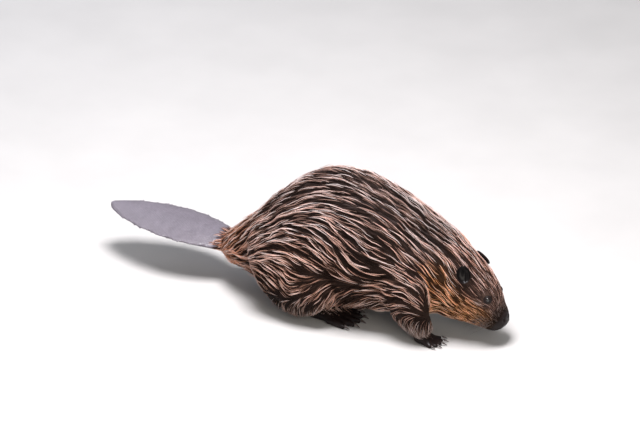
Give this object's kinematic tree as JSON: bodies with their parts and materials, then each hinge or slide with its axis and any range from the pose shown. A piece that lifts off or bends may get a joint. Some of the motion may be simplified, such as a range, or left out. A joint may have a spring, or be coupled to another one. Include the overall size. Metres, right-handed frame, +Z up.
{
  "type": "beaver",
  "caption": "Life-size still model of an adult beaver crouching with its head lowered and its flat tail held out behind.",
  "frame": {"origin": "on the floor, under the middle of the whole length from nose to tail tip", "axes": "+X the way the animal heads, +Y its left side, +Z up"},
  "size_m": [0.9272, 0.298, 0.3079],
  "materials": {
    "coat_head": "damp warm brown guard hair in fine locks",
    "coat_body": "wet grey-brown guard hair clumped in long pointed locks",
    "coat_leg": "wet dark brown guard hair, shorter towards the foot",
    "tail_skin": "damp slate-grey skin with fine flat scales",
    "foot_skin": "wet near-black skin with short hair on top",
    "ear_skin": "near-black skin with very short hair",
    "nose_skin": "wet black skin",
    "eye": "wet dark brown eye",
    "claw_horn": "dark horn"
  },
  "bodies": {
    "root": {"head": "coat_head", "neck": "coat_body", "trunk": "coat_body", "tail": "tail_skin", "eye_right": "eye", "ear_right": "ear_skin", "eye_left": "eye", "ear_left": "ear_skin", "nose": "nose_skin", "hind_leg_right": "coat_leg", "hind_foot_right": "foot_skin", "hind_foot_right_claw_1": "claw_horn", "hind_foot_right_claw_2": "claw_horn", "hind_foot_right_claw_3": "claw_horn", "hind_foot_right_claw_4": "claw_horn", "hind_foot_right_claw_5": "claw_horn", "hind_leg_left": "coat_leg", "hind_foot_left": "foot_skin", "hind_foot_left_claw_1": "claw_horn", "hind_foot_left_claw_2": "claw_horn", "hind_foot_left_claw_3": "claw_horn", "hind_foot_left_claw_4": "claw_horn", "hind_foot_left_claw_5": "claw_horn", "foreleg_right": "coat_leg", "forefoot_right": "foot_skin", "forefoot_right_claw_1": "claw_horn", "forefoot_right_claw_2": "claw_horn", "forefoot_right_claw_3": "claw_horn", "forefoot_right_claw_4": "claw_horn", "forefoot_right_claw_5": "claw_horn", "foreleg_left": "coat_leg", "forefoot_left": "foot_skin", "forefoot_left_claw_1": "claw_horn", "forefoot_left_claw_2": "claw_horn", "forefoot_left_claw_3": "claw_horn", "forefoot_left_claw_4": "claw_horn", "forefoot_left_claw_5": "claw_horn"}
  },
  "joints": []
}
